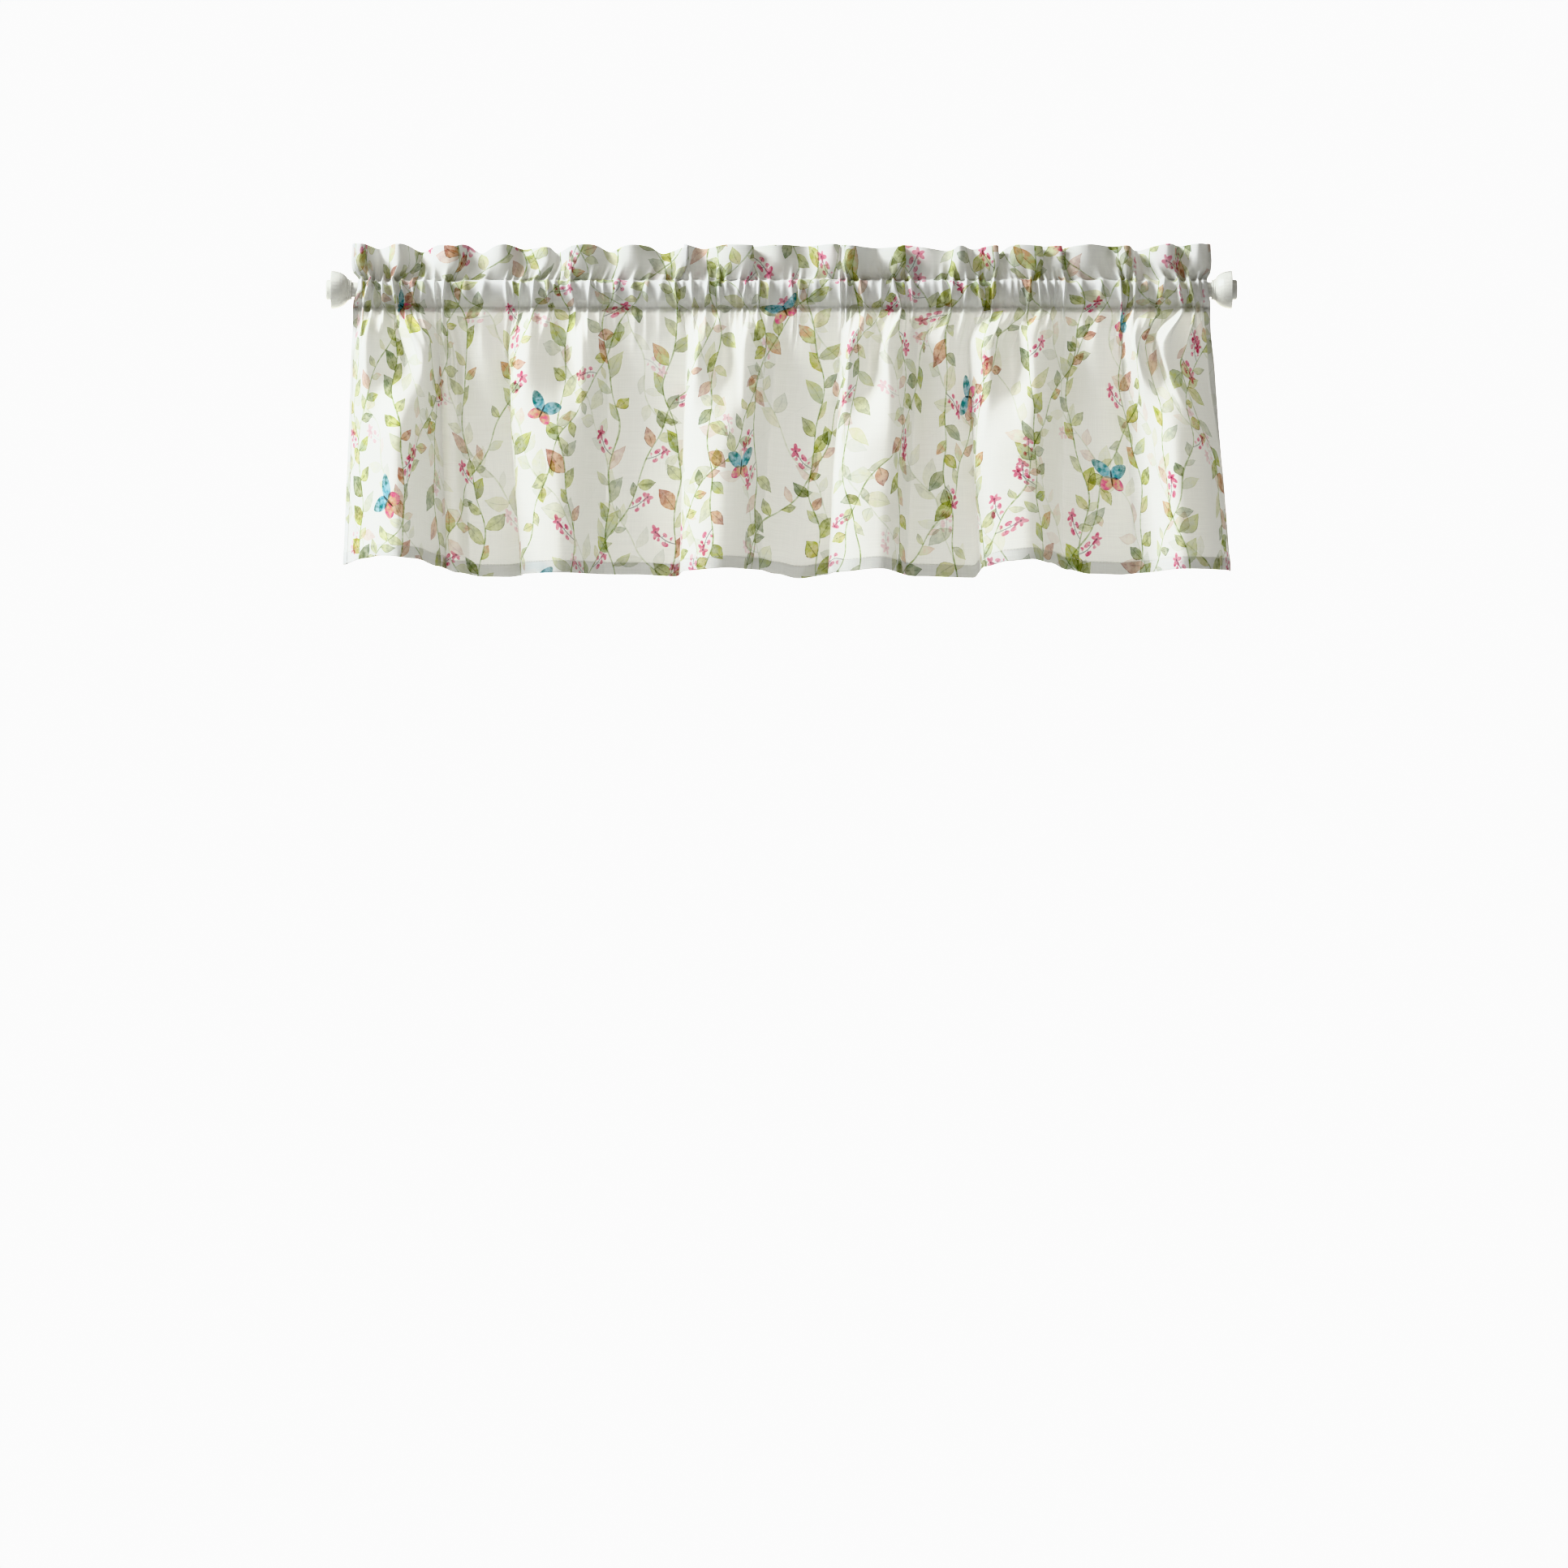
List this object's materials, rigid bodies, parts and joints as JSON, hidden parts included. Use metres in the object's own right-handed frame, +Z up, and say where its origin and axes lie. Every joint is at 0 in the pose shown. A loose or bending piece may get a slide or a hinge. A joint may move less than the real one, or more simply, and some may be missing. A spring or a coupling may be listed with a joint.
{
  "type": "window valance on a curtain rod",
  "caption": "Rod-pocket window valance with a standing ruffled heading and a softly folded skirt, gathered on a straight curtain rod with turned bell finials.",
  "frame": {"origin": "middle of the curtain rod's axis", "axes": "+X along the rod to the right, -Y towards the room, +Z up"},
  "size_m": [0.978, 0.094, 0.3587],
  "materials": {
    "printed_cotton": "light slubbed plain weave, printed with leaves and small blossoms, matte",
    "painted_rod": "satin white paint",
    "painted_finial": "satin white"
  },
  "bodies": {
    "root": {"valance": "printed_cotton", "rod": "painted_rod", "finial_left": "painted_finial", "finial_right": "painted_finial"}
  },
  "joints": []
}
